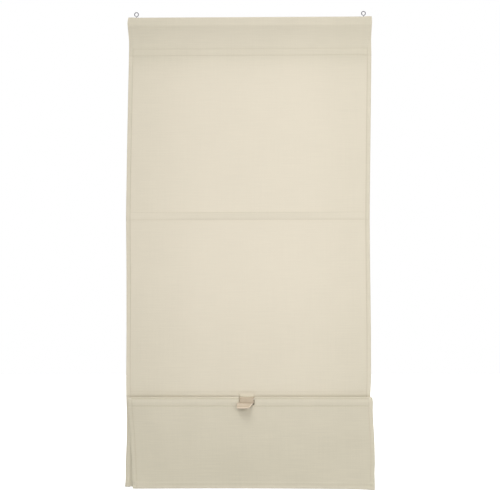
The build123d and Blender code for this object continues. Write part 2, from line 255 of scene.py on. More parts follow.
def panelPath(p):
    face, top, turn = p["sleeveFace"], p["headTop"], p["headRadius"]
    strip, rise, flap = p["stripFace"], p["riseFace"], p["flapFace"]
    batten, seam = p["battenBottom"], p["sleeveSeam"]
    foldZ, topZ = p["foldCentre"], p["topFoldZ"]
    slitLow, slitHigh, notchLow = p["slit"][2], p["slit"][3], p["notch"][2]
    hemLow, hemBack, hemFace = p["flapBottom"] + p["hemTurn"], flap + 2 * p["hemTurn"], flap + p["hemLift"]
    drawnLow, drawnHigh = p["channelTop"] - 1.4, p["channelTop"] + 0.9  # the back is drawn in to the seam
    dropRows = (*headSeams, *upperSeams, *middleSeams, slitLow, slitHigh, *turnRows)
    runs = [
        ("strip", straightRun((strip, p["sleeveEnd"]), (strip, seam), 5.0, headSeams)),
        ("sleeveBack", hollowRun((strip, seam), (face, batten), 10, False)),
        ("sleeve", straightRun((face, batten), (face, top - turn), 5.0)),
        ("sleeve", arcRun((face - turn, top - turn), turn, 0, 90, 5)),
        ("sleeve", straightRun((face - turn, top), (turn - face, top), 3.0)),
        ("sleeve", arcRun((turn - face, top - turn), turn, 90, 180, 5)),
        ("sleeve", straightRun((-face, top - turn), (-face, batten), 3.0)),
        ("sleeveFront", hollowRun((-face, batten), (0.0, seam), 18, True)),
        ("drop", straightRun((0.0, seam), (0.0, foldZ), p["downStep"], dropRows)),
        ("fold", arcRun((-p["foldRadius"], foldZ), p["foldRadius"], 0, -180, 10)),
        ("rise", straightRun((rise, foldZ), (rise, topZ), p["downStep"], (notchLow,))),
        ("topFold", arcRun((rise - p["topFoldRadius"], topZ), p["topFoldRadius"], 0, 180, 10)),
        ("flap", straightRun((flap, topZ), (flap, hemLow), p["downStep"], (*flapSeams, notchLow, *hemSeams))),
        ("hem", arcRun((flap + p["hemTurn"], hemLow), p["hemTurn"], 180, 360, 8)),
        ("hem", straightRun((hemBack, hemLow), (hemBack, drawnLow), 2.5)),
        ("hem", straightRun((hemBack, drawnLow), (hemFace, drawnHigh), 0.7)),
        ("hem", straightRun((hemFace, drawnHigh), (hemFace, p["hemEnd"]), 2.0)),
        ("hem", [(hemFace, p["hemEnd"])]),
    ]
    return [(tag, *point) for tag, points in runs for point in points]


def columnPlaces(half, hem, marks, step):
    # (place across, share of the hem turn) from one turned edge over the face to the other
    inner = list(np.linspace(-half + 0.5, half - 0.5, round(2 * half / step)))
    inner = [x for x in inner if all(abs(x - m) > 0.45 * step for m in marks)] + list(marks)
    turned = [(hem, 1.0), (hem * 0.55, 1.0), (0.5, 1.0)] if hem else []
    places = [(-half + d, share) for d, share in turned] + [(-half, 0.5 if hem else 0.0)]
    places += [(x, 0.0) for x in sorted(inner)] + [(half, 0.5 if hem else 0.0)]
    return places + [(half - d, share) for d, share in reversed(turned)]


def flatPlace(x, share):  # place across the cloth before its side hems were turned
    if share == 0:
        return x
    return math.copysign(panel["half"] + (panel["half"] - abs(x) if share == 1 else 0), x)


def driftAt(tag, z, p):  # how far to the side the cloth lies at a height
    fold, hang, top = p["foldDrift"], p["hangDrift"], p["flapDriftTop"]
    low, high = p["foldCentre"], p["topFoldZ"]
    flapRows = ((p["channelTop"], p["flapDriftBottom"]), (high, top))
    rows = {"drop": ((low, fold), (p["middleRod"], hang), (p["upperRod"], hang), (p["sleeveSeam"], 0.0)),
            "fold": ((low, fold),), "rise": ((low, fold), (high, top)), "topFold": ((high, top),),
            "flap": flapRows, "hem": flapRows}
    return float(np.interp(z, *zip(*rows[tag]))) if tag in rows else 0.0


# relief of the cloth in millimetres, positive towards its back side
relief = {"sleeveSlack": 1.5, "pucker": 0.30, "groove": 0.38, "sideGroove": 0.3, "rodSwell": 0.75,
          "edgeRipple": 0.55, "hemSwell": 0.32}
# how long its ripples are across and down
ripple = {"sleeve": (70, 60), "broad": (130, 420), "fine": (48, 200), "pucker": (13, 10), "edge": (1, 26),
          "casing": (16, 6)}
# the flap's left edge leans back against the cloth behind it, below the rod and above the bar
edgeLean = {"depth": 3.0, "across": (225, 297), "belowRod": (-968, -1000), "aboveBar": (-1162, -1135)}
# just above the flap the cloth hangs forward and then turns back under itself, sooner near the catch
overhang = {"depth": 0.75, "starts": -850, "full": -932, "turn": (-943.0, -937.5),
            "catchTurn": (-936.5, -926.0), "catchPlace": -4.4, "catchReach": 25}
# between these heights, from rod to rod, the cloth can belly
foldLow, barHigh = -1165.0, -1160.0
stiffRows = {"drop": (panel["sleeveSeam"], panel["upperRod"], panel["middleRod"], foldLow),
             "rise": (panel["topFoldZ"], foldLow), "flap": (panel["topFoldZ"], barHigh)}
belly = {"drop": (1.7, 1.3), "rise": (1.7, 7.7), "flap": (1.3, 12.1)}  # depth and seed
foldCrease = -945.9
seamRows = {  # height of each row, how deep it draws the cloth in and how much painted shade it gets
    "drop": ((headSeams[0], 0.35), (headSeams[1], 0.5), (upperSeams[0], 0.15), (upperSeams[1], 0.05),
             (middleSeams[0], 0.2), (middleSeams[1], 0.4)),
    "topFold": ((foldCrease, 1.2),),
    "flap": ((flapSeams[0], 0.25), (flapSeams[1], 1.1), (hemSeams[0], 0.1), (hemSeams[1], 0.12)),
    "strip": ((headSeams[0], 0.5), (headSeams[1], 0.5)),
}


def clothRelief(tag, x, z):
    amount = 0.0
    if tag == "sleeveFront":
        t = (panel["battenBottom"] - z) / (panel["battenBottom"] - panel["sleeveSeam"])
        amount += relief["sleeveSlack"] * t * (1 - t) * noiseAt(x, z, ripple["sleeve"], 4.2)
    rows = stiffRows.get(tag, ())
    for high, low in zip(rows, rows[1:]):
        if low <= z <= high:
            swell = math.sin(math.pi * (high - z) / (high - low))
            depth, seed = belly[tag][0], belly[tag][1] + high / 100
            wavy = noiseAt(x, z, ripple["broad"], seed) + 0.3 * noiseAt(x, z, ripple["fine"], seed + 5)
            amount += depth * swell * wavy
    for row, depth in seamRows.get(tag, ()):
        away = abs(z - row)
        if away < 40:
            amount += relief["groove"] * depth * bell(away, 1.1)
            pull = relief["pucker"] * math.sqrt(depth) * math.exp(-away / 9)
            amount += pull * noiseAt(x, row, ripple["pucker"], 2.5)
    if tag == "drop":
        amount -= relief["rodSwell"] * bell(z - panel["upperRod"] - 1.5, 5.0)
        near = math.exp(-((x - overhang["catchPlace"]) / overhang["catchReach"]) ** 4)
        turn = (1 - near) * smoothStep(*overhang["turn"], z) + near * smoothStep(*overhang["catchTurn"], z)
        amount -= overhang["depth"] * smoothStep(overhang["starts"], overhang["full"], z) * turn
    if tag == "flap":
        amount -= relief["rodSwell"] * bell(z - panel["lowerRod"] + 3.0, 5.5)
        leaning = smoothStep(*edgeLean["belowRod"], z) * smoothStep(*edgeLean["aboveBar"], z)
        amount += edgeLean["depth"] * smoothStep(*edgeLean["across"], -x) * leaning
        amount -= relief["hemSwell"] * sum(smoothStep(top, crest, z) * smoothStep(foot, crest, z)
                                           for top, crest, foot in hemSwells)
    edge = smoothStep(262, 300, abs(x))
    if edge > 0 and tag in ("drop", "rise", "flap"):
        amount += relief["edgeRipple"] * edge * noiseAt(math.copysign(30, x), z, ripple["edge"], len(tag))
        amount += relief["sideGroove"] * bell(abs(x) - panel["sideStitch"], 1.0)
    return amount


# the hem sags at its ends, most at its right corner, beyond the bar;
# its back ply sinks only at the very bottom, under the bar
hemSag = {"middle": 0.5, "ends": 1.4, "tilt": 0.5, "rightEnd": 0.9, "rightCorner": 1.5,
          "reach": {"flap": (-1000, -1150), "hem": (-1160.5, -1166.0)}}


def hemDrop(tag, x, z):
    if tag not in hemSag["reach"]:
        return 0.0
    out = x / panel["half"]
    bow = hemSag["middle"] - hemSag["ends"] * out ** 2 - hemSag["tilt"] * out
    bow -= hemSag["rightEnd"] * smoothStep(240, 288, x) + hemSag["rightCorner"] * smoothStep(282, 299, x)
    return bow * smoothStep(*hemSag["reach"][tag], z)


# painted shade on the cloth's colour, 0 to 1: low where one ply is painted lit through, high where many plies
# lie together;
# the sides, the outer edges, under the sleeve and low on the drop and flap get painted shade of their own;
# the side hem beside the flap, the band over the low rod and the hem's swells get painted light
plyAndShadeShare = {"sleeve": 0.5, "sleeveAside": 0.7, "shadeUnderSleeve": 0.5, "shadeLowDrop": 0.3, "rodBand": 0.28,
            "behindFlap": 0.85, "edgeShade": 0.35, "sideHem": 0.5, "litSideHemBelow": 0.15,
            "flap": 0.78, "shadeLowFlap": 0.24, "litFlapBand": 0.68, "flapHemLeft": 0.12, "flapHemRight": -0.04,
            "swellHighlight": 0.3,
            # painted shade towards the sides: the share, where it starts and where it is full
            "dropShadeAside": ((0.31, 85, 305), (0.28, 110, 305)),
            "flapShadeAside": ((0.07, 200, 260), (0.1, 120, 250))}


def shadeAside(sides, x):
    (left, leftStart, leftFull), (right, rightStart, rightFull) = sides
    return left * smoothStep(leftStart, leftFull, -x) + right * smoothStep(rightStart, rightFull, x)


def flapPlyAndShade(tag, x, z, hemmed, edgeShade):
    aside = shadeAside(plyAndShadeShare["flapShadeAside"], x)
    if hemmed:
        aside = edgeShade + plyAndShadeShare["flapHemLeft" if x < 0 else "flapHemRight"]
    if tag == "flap" and flapSeams[1] + 0.5 < z < flapSeams[0] - 0.5:
        return plyAndShadeShare["litFlapBand"] + aside  # painted light: the band over the rod is painted paler
    # painted shade: darker towards the bottom and towards the sides
    plies = plyAndShadeShare["flap"] + plyAndShadeShare["shadeLowFlap"] * smoothStep(-965, -1150, z) + aside
    if tag in ("flap", "hem"):
        # painted highlight on the hem's two swells
        paintedLit = bell(z - swellHighlightRows["upper"], swellHighlightRows["width"]) + smoothStep(*swellHighlightRows["lower"], z)
        plies -= plyAndShadeShare["swellHighlight"] * paintedLit
    return plies


def plyAndShadeCount(tag, x, z):
    hemmed = abs(x) > panel["half"] - panel["sideHem"] + 0.3
    # painted shade along the outer edges
    edgeShade = plyAndShadeShare["edgeShade"] if abs(x) > panel["half"] - 0.6 else 0.0
    if tag in ("rise", "fold", "topFold", "flap", "hem"):
        return flapPlyAndShade(tag, x, z, hemmed, edgeShade)
    aside = shadeAside(plyAndShadeShare["dropShadeAside"], x)
    if tag in sleeveTags or z > panel["sleeveEnd"]:
        return plyAndShadeShare["sleeve"] + plyAndShadeShare["sleeveAside"] * aside
    # side hems: several plies, but below the middle rod painted lighter where the flap shades them
    if hemmed:
        return edgeShade + plyAndShadeShare["sideHem" if z > panel["middleRod"] else "litSideHemBelow"]
    if upperSeams[1] - 0.5 < z < upperSeams[0] + 0.5:
        return plyAndShadeShare["rodBand"]
    if z < panel["middleRod"]:
        return plyAndShadeShare["behindFlap"]
    # painted shade under the sleeve, and darker towards the bottom
    shadeUnderSleeve = plyAndShadeShare["shadeUnderSleeve"] * math.exp((z - panel["sleeveEnd"]) / 27)
    return shadeUnderSleeve + plyAndShadeShare["shadeLowDrop"] * smoothStep(-600, -935, z) + aside


# painted shade in the seams' grooves, at the fold's crease and along the side stitching
def paintedSeamShade(tag, x, z):
    rows = seamRows.get(tag, ()) if abs(x) < panel["sideStitch"] + 1 else ()
    near = [depth * bell(z - row, 1.0) for row, depth in rows]
    if tag in ("drop", "rise", "flap"):
        near.append(0.7 * bell(abs(x) - panel["sideStitch"], 1.0))
    return max(near, default=0.0)


def gridSheet(name, places, across, down, thickness, plies, seams, hole=None):
    # a grid of cloth that is laid on the given points: rows down the cloth, columns across it
    bpy.ops.object.select_all(action="DESELECT")
    rowCount, columnCount = places.shape[:2]
    bpy.ops.mesh.primitive_grid_add(x_subdivisions=columnCount - 1, y_subdivisions=rowCount - 1, size=1)
    piece = bpy.context.object
    piece.name = piece.data.name = name
    mesh = piece.data
    start = np.zeros(len(mesh.vertices) * 3)
    mesh.vertices.foreach_get("co", start)
    start = start.reshape(-1, 3)
    column = np.rint((start[:, 0] + 0.5) * (columnCount - 1)).astype(int)
    row = np.rint((start[:, 1] + 0.5) * (rowCount - 1)).astype(int)
    mesh.vertices.foreach_set("co", (places[row, column] * mm).ravel())
    # these attributes carry painted light and shade for the cloth's colour
    for attributeName, values in (("plies", plies), ("seam", seams)):
        attribute = mesh.attributes.new(attributeName, "FLOAT", "POINT")
        attribute.data.foreach_set("value", values[row, column].astype(np.float32))
    lay = mesh.uv_layers[0]
    lay.name = "clothLay"
    corner = np.zeros(len(mesh.loops), dtype=np.int32)
    mesh.loops.foreach_get("vertex_index", corner)
    flat = np.stack([across[column[corner]], down[row[corner]]], axis=1)
    lay.uv.foreach_set("vector", flat.ravel() * mm)
    if hole is not None:
        shape = bmesh.new()
        shape.from_mesh(mesh)
        gone = []
        for cell in shape.faces:
            ids = [v.index for v in cell.verts]
            if hole(row[ids].min(), row[ids].max(), column[ids].min(), column[ids].max()):
                gone.append(cell)
        bmesh.ops.delete(shape, geom=gone, context="FACES")
        shape.to_mesh(mesh)
        shape.free()
    thick = piece.modifiers.new("thickness", "SOLIDIFY")
    thick.thickness, thick.offset = thickness * mm, 0.0
    bpy.ops.object.modifier_apply(modifier="thickness")
    bpy.ops.object.shade_smooth_by_angle(angle=math.radians(50))
    mesh.materials.append(cloth)
    return piece


def pathLengths(points):
    steps = [math.dist(a, b) for a, b in zip(points, points[1:])]
    return np.concatenate([[0.0], np.cumsum(steps)])


def pathNormals(points):  # towards the back side of the cloth
    points = np.array(points)
    way = np.gradient(points, axis=0)
    way /= np.linalg.norm(way, axis=1)[:, None]
    return np.stack([-way[:, 1], way[:, 0]], axis=1)


path = panelPath(panel)
pathTags = [tag for tag, y, z in path]
pathPoints = [(y, z) for tag, y, z in path]
pathDown = pathLengths(pathPoints)
pathBack = pathNormals(pathPoints)
slitLeft, slitRight = panel["slit"][:2]
notchLeft, notchRight = panel["notch"][:2]
besideStitch = (-1.8, -0.8, 0.0, 0.8, 1.8, 7.2)
stitchColumns = [side * (panel["sideStitch"] + d) for side in (-1, 1) for d in besideStitch]
columnMarks = sorted([slitLeft, slitRight, notchLeft, notchRight] + stitchColumns)
columns = columnPlaces(panel["half"], panel["sideHem"], columnMarks, panel["acrossStep"])
columnFlat = np.array([flatPlace(x, share) for x, share in columns])

panelPlaces = np.zeros((len(path), len(columns), 3))
panelPlyShade, panelSeamShade = np.zeros((2, len(path), len(columns)))
waveReach, sleeveLift = (60, 300), (285, 289)  # places across where the edges wave, and rise over their hems
for r, (tag, y, z) in enumerate(path):
    outward = 1.0 if tag in sleeveTags or z > panel["sleeveEnd"] else 0.0
    drift = driftAt(tag, z, panel)
    table = flapWave if tag in ("topFold", "flap", "hem") else panelWave
    left, right = waveAt(table, z, 1), waveAt(table, z, 2)
    for c, (x, turn) in enumerate(columns):
        wave = left * smoothStep(*waveReach, -x) + right * smoothStep(*waveReach, x)
        back = panel["hemLift"] * turn + clothRelief(tag, x, z)
        back -= panel["hemLift"] * outward * smoothStep(*sleeveLift, abs(x))
        panelPlaces[r, c] = (x + drift + wave, y + pathBack[r][0] * back,
                             z + pathBack[r][1] * back + hemDrop(tag, x, z))
        panelPlyShade[r, c] = plyAndShadeCount(tag, x, z)
        panelSeamShade[r, c] = paintedSeamShade(tag, x, z) if turn == 0 else 0.0


def inOpening(firstRow, lastRow, firstColumn, lastColumn):
    low, high = sorted((pathPoints[firstRow][1], pathPoints[lastRow][1]))
    left, right = sorted((columns[firstColumn][0], columns[lastColumn][0]))
    tags = {pathTags[firstRow], pathTags[lastRow]}
    if tags == {"drop"} and columns[firstColumn][1] == 0:
        inHeight = low > panel["slit"][2] - hair and high < panel["slit"][3] + hair
        return inHeight and left > slitLeft - hair and right < slitRight + hair
    if tags <= {"rise", "topFold", "flap"}:
        return low > panel["notch"][2] - hair and left > notchLeft - hair and right < notchRight + hair
    return False


clothPanel = gridSheet("clothPanel", panelPlaces, columnFlat, pathDown, panel["ply"],
                       panelPlyShade, panelSeamShade, inOpening)
print("cloth panel:", len(clothPanel.data.polygons), "faces, cut length", round(pathDown[-1]), "mm")


# the three rod casings, strips of the same cloth
casing = {"half": 288.0, "tape": 0.5, "rodRadius": 2.5, "rodGap": 0.1, "flange": 1.5, "step": 9.0,
          "beside": 0.3, "below": 0.6, "waver": 0.25, "plies": 0.6}


def casingPath(face, rodZ, seamHigh, seamLow, mark=None):
    middle = face + casing["tape"] / 2
    centre = (face + casing["rodGap"] + casing["rodRadius"], rodZ)
    radius = casing["rodRadius"] + casing["rodGap"] + casing["tape"] / 2
    leaveHigh, leaveLow = seamHigh - casing["beside"], seamLow + casing["beside"]
    angles, touch = [], []  # where the strip meets the rod
    for z, turn in ((leaveHigh, -1), (leaveLow, 1)):
        away = (middle - centre[0], z - centre[1])
        lean = math.acos(radius / math.hypot(*away))
        angle = math.atan2(away[1], away[0]) + turn * lean
        angles.append(math.degrees(angle))
        touch.append((centre[0] + radius * math.cos(angle), centre[1] + radius * math.sin(angle)))
    points = [(middle, z) for z in (seamHigh + casing["flange"], seamHigh + casing["below"], seamHigh)]
    points += straightRun((middle, leaveHigh), touch[0], 2.5)
    points += arcRun(centre, radius, angles[0], angles[1], 12)
    points += straightRun(touch[1], (middle, leaveLow), 2.5)
    lowEnd = (leaveLow, seamLow, seamLow - casing["below"], seamLow - casing["flange"])
    points += [(middle, z) for z in lowEnd]
    for i, (a, b) in enumerate(zip(points, points[1:])):
        if mark is not None and a[1] > mark > b[1]:  # one more row where the opening ends
            t = (a[1] - mark) / (a[1] - b[1])
            points.insert(i + 1, (a[0] + (b[0] - a[0]) * t, mark))
            break
    return points


def casingSheet(name, tag, face, rodZ, seams, drift, opening=(), openingEnd=None):
    points = casingPath(face, rodZ, *seams, mark=openingEnd)
    places = [x for x, turn in columnPlaces(casing["half"], 0, opening, casing["step"])]
    grid = np.zeros((len(points), len(places), 3))
    for r, (y, z) in enumerate(points):
        hold = bell(y - face - casing["tape"] / 2, 0.8)  # the flanges follow the cloth they are sewn to
        for c, x in enumerate(places):
            waver = casing["waver"] * noiseAt(x, z, ripple["casing"], rodZ) * (1 - hold)
            grid[r, c] = (x + drift, y + hold * clothRelief(tag, x, z) + waver, z)
    # painted shade: the casings take the darker tone of several plies
    plies = np.full(grid.shape[:2], casing["plies"])
    # painted shade along the casing's seams
    seamShadeMarks = np.array([[max(bell(z - s, 0.8) for s in seams)] * len(places) for y, z in points])

    def inCut(firstRow, lastRow, firstColumn, lastColumn):
        if not opening:
            return False
        low, high = sorted((points[firstRow][1], points[lastRow][1]))
        inside = places[firstColumn] > opening[0] - hair and places[lastColumn] < opening[1] + hair
        return inside and (high < openingEnd + hair if tag == "drop" else low > openingEnd - hair)

    down = pathLengths(points)
    return gridSheet(name, grid, np.array(places), down, casing["tape"], plies, seamShadeMarks, inCut), points


clothBack, flapBack = panel["ply"] / 2, panel["flapFace"] + panel["ply"] / 2
upperStrip, upperLine = casingSheet("upperCasing", "drop", clothBack, panel["upperRod"], upperSeams,
                                    panel["hangDrift"])
middleStrip, middleLine = casingSheet("middleCasing", "drop", clothBack, panel["middleRod"], middleSeams,
                                      panel["hangDrift"], (slitLeft, slitRight), panel["slit"][3])
lowerStrip, lowerLine = casingSheet("lowerCasing", "flap", flapBack, panel["lowerRod"], flapSeams,
                                    panel["flapDriftTop"], (notchLeft, notchRight), panel["notch"][2])
print("casings sewn on")


# the lip of the slit, which rests on the catch's barrel
slitLip = {"start": -1.0, "meets": (-0.55, -939.2), "pivot": (2.9, -944.2), "radius": 5.5,
           "startAngle": 52.0, "middleAngle": 15.0, "sideAngle": 26.0,
           "left": -27.35, "right": 8.55, "columns": 15, "flatPlace": 930.0}


def makeSlitLip(s):
    top = panel["slit"][3]
    places = np.linspace(s["left"], s["right"], s["columns"])
    middle = (s["left"] + s["right"]) / 2
    lines = []
    for x in places:
        aside = abs(x - middle) / (s["right"] - middle)
        last = s["middleAngle"] + (s["sideAngle"] - s["middleAngle"]) * aside ** 2
        points = straightRun((s["start"], top + 0.2), s["meets"], 0.9)
        for a in np.radians(np.linspace(s["startAngle"], last, 9)):
            points.append((s["pivot"][0] - s["radius"] * math.cos(a),
                           s["pivot"][1] + s["radius"] * math.sin(a)))
        lines.append(points)
    grid = np.zeros((len(lines[0]), len(places), 3))
    for c, (x, points) in enumerate(zip(places, lines)):
        # the lip meets the panel at its top edge
        join = clothRelief("drop", x - panel["hangDrift"], top) - s["start"]
        for r, (y, z) in enumerate(points):
            hang = 1 - r / (len(points) - 1)
            grid[r, c] = (x, y + join * hang ** 2, z)
    # painted shade on the part that rests on the barrel, where the cloth faces up
    plies = np.array([[0.3 + 0.8 * smoothStep(3, 6, r)] * len(places) for r in range(len(grid))])
    down = pathLengths(lines[-1]) + s["flatPlace"]
    return gridSheet("slitLip", grid, places, down, panel["ply"], plies, np.zeros(plies.shape))


lipOfSlit = makeSlitLip(slitLip)
print("slit lip laid over the barrel")


# lockstitch along every seam, and close stitches round the two openings
stitch = {"length": 2.7, "pitch": 3.6, "width": 0.5, "height": 0.34, "lift": 0.36, "clear": 1.5,
          "closePitch": 1.1, "bite": 0.9}


def stitchShape(s):
    # one lockstitch: a short thread that sinks into the cloth at both ends
    bpy.ops.object.select_all(action="DESELECT")
    bpy.ops.mesh.primitive_uv_sphere_add(segments=6, ring_count=4, radius=1)
    shape = bpy.context.object
    bpy.ops.object.mode_set(mode="EDIT")
    bpy.ops.mesh.select_all(action="SELECT")
    bpy.ops.transform.rotate(value=math.pi / 2, orient_axis="Y", center_override=(0, 0, 0))
    bpy.ops.transform.resize(value=(s["length"] / 2, s["width"] / 2, s["height"] / 2))
    bpy.ops.object.mode_set(mode="OBJECT")
    points = np.array([v.co for v in shape.data.vertices])
    cells = [list(face.vertices) for face in shape.data.polygons]
    bpy.data.objects.remove(shape)
    return points, cells


stitchPoints, stitchCells = stitchShape(stitch)
faceColumns = [c for c, (x, share) in enumerate(columns) if share == 0]
faceX = np.array([columns[c][0] for c in faceColumns])


def onPanel(x, down):  # a point on the middle of the cloth
    r = int(np.clip(np.searchsorted(pathDown, down) - 1, 0, len(pathDown) - 2))
    k = int(np.clip(np.searchsorted(faceX, x) - 1, 0, len(faceX) - 2))
    v = (down - pathDown[r]) / (pathDown[r + 1] - pathDown[r])
    u = (x - faceX[k]) / (faceX[k + 1] - faceX[k])
    a, b = faceColumns[k], faceColumns[k + 1]
    near = panelPlaces[r, a] * (1 - u) + panelPlaces[r, b] * u
    far = panelPlaces[r + 1, a] * (1 - u) + panelPlaces[r + 1, b] * u
    return near * (1 - v) + far * v


def downAt(tag, z):  # length down the cloth where this run passes a height
    ids = [i for i, t in enumerate(pathTags) if t == tag]
    return pathDown[min(ids, key=lambda i: abs(pathPoints[i][1] - z))]


def sewStitch(x, down, along, side, lift):
    across = onPanel(x + 1.0, down) - onPanel(x - 1.0, down)
    fall = onPanel(x, down + 1.0) - onPanel(x, down - 1.0)
    across, fall = across / np.linalg.norm(across), fall / np.linalg.norm(fall)
    back = np.cross(across, fall)
    back /= np.linalg.norm(back)
    way = across if along == "across" else fall
    aside = np.cross(back, way)
    centre = onPanel(x, down) + back * side * lift
    return centre + stitchPoints[:, :1] * way + stitchPoints[:, 1:2] * aside + stitchPoints[:, 2:] * back


def sewRow(tag, z, reach, backLift, skip=None):
    # a row across the blind, seen on both sides, with none over an opening
    down = downAt(tag, z)
    for x in np.arange(-reach, reach, stitch["pitch"]):
        for place, side, lift in ((x, -1, stitch["lift"]), (x + stitch["pitch"] / 2, 1, backLift)):
            if not (skip and skip[0] - stitch["clear"] < place < skip[1] + stitch["clear"]):
                stitches.append(sewStitch(place, down, "across", side, lift))


def sewEdges(left, right, first, last, ends):
    # close stitches over the raw edges of an opening: its ends, then its sides
    acrossPlaces = np.arange(left + 0.5, right, stitch["closePitch"])
    downPlaces = np.arange(first + 0.5, last, stitch["closePitch"])
    sides = (left - stitch["bite"], right + stitch["bite"])
    places = [(x, down, "down") for down in ends for x in acrossPlaces]
    places += [(x, down, "across") for x in sides for down in downPlaces]
    for x, down, along in places:
        for side in (-1, 1):
            stitches.append(sewStitch(x, down, along, side, stitch["lift"]))


stitches = []
clothReach, casingReach = panel["sideStitch"] - 4, casing["half"] - 1
onStrip, onHem = panel["stripFace"] + stitch["lift"], panel["hemLift"] + stitch["lift"]
onCasing = casing["tape"] + stitch["lift"]
for z in headSeams:
    sewRow("drop", z, clothReach, onStrip)
for z in upperSeams:
    sewRow("drop", z, casingReach, onCasing)
sewRow("drop", middleSeams[0], casingReach, onCasing)
sewRow("drop", middleSeams[1], casingReach, onCasing, skip=(slitLeft, slitRight))
sewRow("flap", flapSeams[0], casingReach, onCasing, skip=(notchLeft, notchRight))
sewRow("flap", flapSeams[1], casingReach, onCasing)
for z in hemSeams:
    sewRow("flap", z, clothReach, onHem)
for x in (-panel["sideStitch"], panel["sideStitch"]):
    for down in np.arange(downAt("drop", panel["sleeveEnd"]), downAt("flap", hemSeams[0]), stitch["pitch"]):
        stitches.append(sewStitch(x, down, "down", -1, stitch["lift"]))
        stitches.append(sewStitch(x, down + stitch["pitch"] / 2, "down", 1, onHem))
slitTop, slitLow = downAt("drop", panel["slit"][3]), downAt("drop", panel["slit"][2])
notchBack, notchFront = downAt("rise", panel["notch"][2]), downAt("flap", panel["notch"][2])
bite = stitch["bite"]
sewEdges(slitLeft, slitRight, slitTop, slitLow, [slitLow + bite])
sewEdges(notchLeft, notchRight, notchBack, notchFront, [notchBack - bite, notchFront + bite])

threadMesh = bpy.data.meshes.new("seamThread")
allCells = [[i + n * len(stitchPoints) for i in cell] for n in range(len(stitches)) for cell in stitchCells]
threadMesh.from_pydata((np.concatenate(stitches) * mm).tolist(), [], allCells)
threadMesh.polygons.foreach_set("use_smooth", [True] * len(allCells))
seamThread = bpy.data.objects.new("seamThread", threadMesh)
scene.collection.objects.link(seamThread)

threadLook = {"dark": "C4BAA2", "light": "D9D0BA", "twist": 0.6}  # a turn each 0.6 mm


def threadMaterial(look):
    # spun polyester thread: matt, a shade darker than the cloth, its twist seen as fine bands
    material, tree, shader = newMaterial("spunPolyesterThread")
    place = addNode(tree, "ShaderNodeTexCoord").outputs["Object"]
    twist = addNode(tree, "ShaderNodeTexWave", {"bands_direction": "DIAGONAL"},
                    {"Vector": place, "Scale": waveScale(look["twist"])}).outputs["Fac"]
    shade = addNode(tree, "ShaderNodeMix", {"data_type": "RGBA"},
                    {0: twist, 6: linear(look["dark"]), 7: linear(look["light"])}).outputs[2]
    bump = addNode(tree, "ShaderNodeBump", {}, {"Strength": 0.3, "Distance": 0.05 * mm, "Height": twist})
    setInputs(tree, shader, {"Base Color": shade, "Normal": bump.outputs[0], "Roughness": 0.75, "IOR": 1.5})
    return material


threadMesh.materials.append(threadMaterial(threadLook))
print("stitches:", len(stitches))


def smoothCopy(node, name, edgeWidth, angle, material):
    # the node's shape with its facets merged, its edges eased and its curves shaded smooth
    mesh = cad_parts[node].data.copy()
    piece = bpy.data.objects.new(name, mesh)
    mesh.name = name
    scene.collection.objects.link(piece)
    bpy.ops.object.select_all(action="DESELECT")
    piece.select_set(True)
    bpy.context.view_layer.objects.active = piece
    bpy.ops.mesh.customdata_custom_splitnormals_clear()
    bpy.ops.object.mode_set(mode="EDIT")
    bpy.ops.mesh.select_all(action="SELECT")
    bpy.ops.mesh.remove_doubles(threshold=0.004 * mm)
    bpy.ops.mesh.dissolve_limited(angle_limit=math.radians(0.3))
    bpy.ops.object.mode_set(mode="OBJECT")
    if edgeWidth:
        ease = piece.modifiers.new("easedEdges", "BEVEL")
        ease.width, ease.segments = edgeWidth * mm, 2
        ease.limit_method, ease.angle_limit = "ANGLE", math.radians(angle)
        bpy.ops.object.modifier_apply(modifier="easedEdges")
    bpy.ops.object.shade_smooth_by_angle(angle=math.radians(angle))
    mesh.materials.clear()
    mesh.materials.append(material)
    return piece


# millimetres; the lip's front edge is at y -28.8, its cut corner at x - y 21.6
plasticLook = {"dark": "B7A68E", "light": "C4B49D", "rimHighlight": "D8C8B3", "flow": 9.0, "grain": 0.35,
               "highlightFront": (-23.5, -26.0), "highlightCorner": (18.0, 20.5), "lipTop": -958.0}


